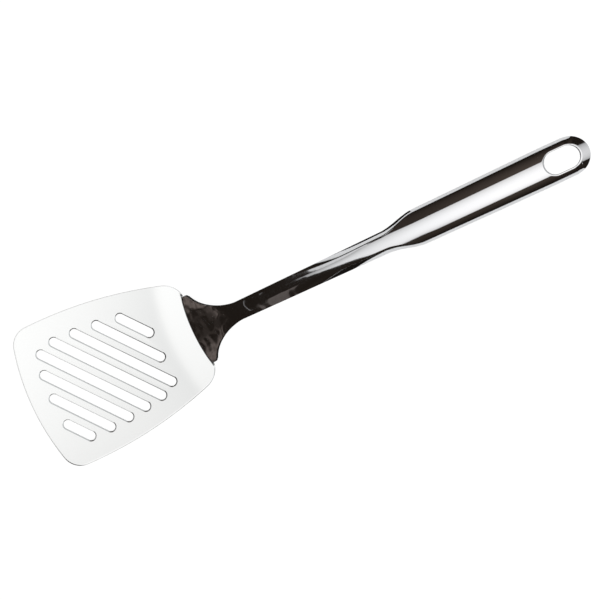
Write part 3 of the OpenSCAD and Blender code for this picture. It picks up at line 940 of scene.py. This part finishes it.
class SPATULA_OT_stage(bpy.types.Operator):
    """Set up the pale floor, lit panels, painted floor shadows, dark studio and camera"""

    bl_idname = "spatula.stage"
    bl_label = "Studio"

    def execute(self, context):
        stage = context.scene.spatula.stage
        context.scene.view_settings.view_transform = "Standard"
        self.floor()
        self.surroundings(context.scene, stage)
        self.softbox(stage)
        card = self.panel("dim_card", stage.card_place, stage.card_size, stage.card_turn,
                          stage.card_level)
        card.color = linear(stage.card_colour)[:3]
        self.panel("side_box", stage.side_place, stage.side_size, stage.side_turn, stage.side_level)
        self.panel("rail", stage.rail_place, stage.rail_size, 0, stage.rail_level)
        # Painted shadow: dark sheets on the floor round the neck and blade, seen in the steel alone
        for name, sides in (("painted_shadow_over_neck", stage.upper_painted_shadow),
                            ("painted_shadow_under_neck", stage.lower_painted_shadow),
                            ("painted_shadow_beside_blade", stage.far_painted_shadow)):
            self.flag(name, sides)
        self.camera(context.scene, stage)
        return {"FINISHED"}

    def floor(self):
        """A wide sheet of white paper under the blade. Camera rays see it lit evenly from behind,
        with a faint shadow"""
        floor, add = self.laid_sheet("paper_floor", sides=(-4, 4, -4, 4), height=-0.5 * MM,
                                     finish="white background paper")
        paper = add("ShaderNodeBsdfDiffuse", {"Color": linear("#F8F8F8")})
        faint = add("ShaderNodeBsdfDiffuse", {"Color": linear("#7A7A7A")})
        glow = add("ShaderNodeEmission", {"Color": linear("#F4F4F4")})
        backlit = add("ShaderNodeAddShader", {0: faint, 1: glow})
        path = add("ShaderNodeLightPath").outputs
        seen = add("ShaderNodeMixShader", {0: path["Is Camera Ray"], 1: paper, 2: backlit})
        add("ShaderNodeOutputMaterial", {"Surface": seen})
        floor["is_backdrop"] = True

    def surroundings(self, scene, stage):
        """White behind everything, and a dark studio in the steel's reflections"""
        scene.world = bpy.data.worlds.new("studio")
        add = node_adder(scene.world)
        direction = add("ShaderNodeTexCoord").outputs["Generated"]
        way = add("ShaderNodeSeparateXYZ", {"Vector": direction}).outputs
        aside = add("ShaderNodeMath", {0: way["Y"]}, operation="ABSOLUTE")
        noise = add("ShaderNodeTexNoise", {"Vector": direction, "Scale": 15.0, "Detail": 4.0})
        # Shares of the studio: what each is read from, where it starts, where it is whole, and
        # the least of it. The spots lie low before the blade, where only the foot looks. Behind
        # the handle the studio is a little lighter, and most so overhead. Past the tip it opens
        # to a pale wall, which the steel shows to views from behind
        share = {name: add("ShaderNodeMapRange",
                           {"Value": source, "From Min": start, "From Max": whole, "To Min": least})
                 for name, source, start, whole, least in (
                     ("dappled", noise, 0.42, 0.60, 0), ("ahead", way["X"], -0.88, -0.95, 0),
                     ("beside", aside, 0.04, 0.17, 0.15), ("behind", way["X"], -0.45, -0.15, 0),
                     ("overhead", way["Z"], 0.2, 0.8, 0), ("near", way["X"], 0.25, 0.05, 0),
                     ("past", way["X"], 0.35, 0.5, 0), ("low", way["Z"], 0.85, 0.7, 0))}
        for name, one, other in (("there", "ahead", "beside"), ("spots", "dappled", "there"),
                                 ("above", "overhead", "near"), ("high", "behind", "above"),
                                 ("wall", "past", "low")):
            share[name] = add("ShaderNodeMath", {0: share[one], 1: share[other]},
                              operation="MULTIPLY")
        colour = linear(stage.surroundings)
        for name, paint in (("high", stage.surroundings_high), ("spots", stage.surroundings_spots),
                            ("wall", stage.pale_wall)):
            layer = add("ShaderNodeMix", {0: share[name], "A": colour, "B": linear(paint)},
                        data_type="RGBA")
            colour = layer.outputs["Result"]
        studio = add("ShaderNodeBackground", {"Color": colour})
        fill = add("ShaderNodeBackground", {"Color": linear("#BBBBBB")})
        white = add("ShaderNodeBackground", {"Color": linear("#FFFFFF")})
        path = add("ShaderNodeLightPath").outputs
        seen = add("ShaderNodeMixShader", {0: path["Is Glossy Ray"], 1: fill, 2: studio})
        all_rays = add("ShaderNodeMixShader", {0: path["Is Camera Ray"], 1: seen, 2: white})
        add("ShaderNodeOutputWorld", {"Surface": all_rays})

    @staticmethod
    def laid_sheet(name, sides, height, finish):
        """A flat sheet from its X and Y sides and its height, and its material's adding function"""
        west, east, south, north = sides
        bpy.ops.object.select_all(action="DESELECT")
        bpy.ops.mesh.primitive_plane_add(size=1)
        sheet = active()
        sheet.name = name
        for vertex in sheet.data.vertices:
            x, y, _ = vertex.co
            vertex.co = (mix(west, east, x + 0.5), mix(south, north, y + 0.5), height)
        material, add = new_material(finish)
        sheet.data.materials.append(material)
        return sheet, add

    @staticmethod
    def panel(name, place, size, turn, level):
        """A level glowing panel that the steel reflects at a brightness of its level"""
        bpy.ops.object.light_add(type="AREA", location=place, rotation=(0, 0, turn))
        lamp = active()
        lamp.name = name
        lamp.visible_camera = False
        lamp.data.shape = "RECTANGLE"
        lamp.data.size, lamp.data.size_y = size
        lamp.data.energy = level * pi * size[0] * size[1]
        return lamp.data

    def flag(self, name, sides):
        """Painted floor shadow: a dark sheet on the floor that the steel alone shows"""
        flag, add = self.laid_sheet(name, sides, height=0.2 * MM, finish="painted floor shadow seen in the steel")
        # Its dark colour is painted shadow of the floor, which only glossy rays see
        felt = add("ShaderNodeBsdfDiffuse", {"Color": linear("#1C1916")})
        add("ShaderNodeOutputMaterial", {"Surface": felt})
        flag.visible_camera = False
        flag.visible_diffuse = False
        flag.visible_shadow = False
        flag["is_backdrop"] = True

    def softbox(self, stage):
        """A level softbox over the spatula, brightest at its hot spot and dimmer to its edges"""
        add = node_adder(self.panel("softbox", stage.softbox_place, stage.softbox_size,
                                    stage.softbox_turn, stage.softbox_level))
        place = add("ShaderNodeNewGeometry").outputs["Position"]
        off = add("ShaderNodeVectorMath", {0: place, 1: (*stage.hot_spot, stage.softbox_place[2])},
                  operation="SUBTRACT")
        scaled = add("ShaderNodeVectorMath",
                     {0: off, 1: [sqrt(way) for way in stage.falloff] + [0]}, operation="MULTIPLY")
        far = add("ShaderNodeVectorMath", {0: scaled, 1: scaled}, operation="DOT_PRODUCT")
        left = add("ShaderNodeMath", {0: 1.0, 1: far.outputs["Value"]}, operation="SUBTRACT")
        level = add("ShaderNodeMath", {0: left, 1: SOFTBOX_LEAST}, operation="MAXIMUM")
        light = add("ShaderNodeEmission", {"Strength": level})
        add("ShaderNodeOutputLight", {"Surface": light})

    def camera(self, scene, stage):
        """The camera looks straight down, with the spatula lying across the picture"""
        data = bpy.data.cameras.new("camera")
        camera = bpy.data.objects.new("camera", data)
        scene.collection.objects.link(camera)
        camera.location = stage.camera_place
        camera.rotation_euler = (0, 0, -stage.camera_roll)
        data.sensor_width = 36
        data.lens = data.sensor_width * stage.camera_place[2] / (IMAGE_SIZE * stage.pixel_size)
        data.shift_x, data.shift_y = stage.shift
        scene.camera = camera


class SPATULA_PT_panel(bpy.types.Panel):
    """Lists the spatula's pieces and its studio"""

    bl_idname = "SPATULA_PT_panel"
    bl_label = "Fish spatula"
    bl_space_type = "VIEW_3D"
    bl_region_type = "UI"
    bl_category = "Spatula"

    def draw(self, context):
        for operator in OPERATORS:
            self.layout.operator(operator.bl_idname)
        for group in ("handle", "blade", "finish", "stage"):
            box = self.layout.box()
            box.label(text=group.title())
            settings = getattr(context.scene.spatula, group)
            for name in settings.bl_rna.properties.keys():
                if name not in ("rna_type", "name"):
                    box.prop(settings, name)


OPERATORS = (SPATULA_OT_blade, SPATULA_OT_handle, SPATULA_OT_welds, SPATULA_OT_stage)
CLASSES = (SPATULA_PG_handle, SPATULA_PG_blade, SPATULA_PG_finish, SPATULA_PG_stage,
           SPATULA_PG_settings, *OPERATORS, SPATULA_PT_panel)


def register():
    for cls in CLASSES:
        bpy.utils.register_class(cls)
    bpy.types.Scene.spatula = PointerProperty(type=SPATULA_PG_settings)


def unregister():
    del bpy.types.Scene.spatula
    for cls in reversed(CLASSES):
        bpy.utils.unregister_class(cls)


def main():
    """Makes the pieces and the studio"""
    register()
    bpy.ops.spatula.blade()
    bpy.ops.spatula.handle()
    bpy.ops.spatula.welds()
    bpy.ops.spatula.stage()
    boxes = {"cad": CAD_BOX, "visual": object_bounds()}
    {name: [list(corner) for corner in box] for name, box in boxes.items()}


if __name__ == "__main__":
    main()
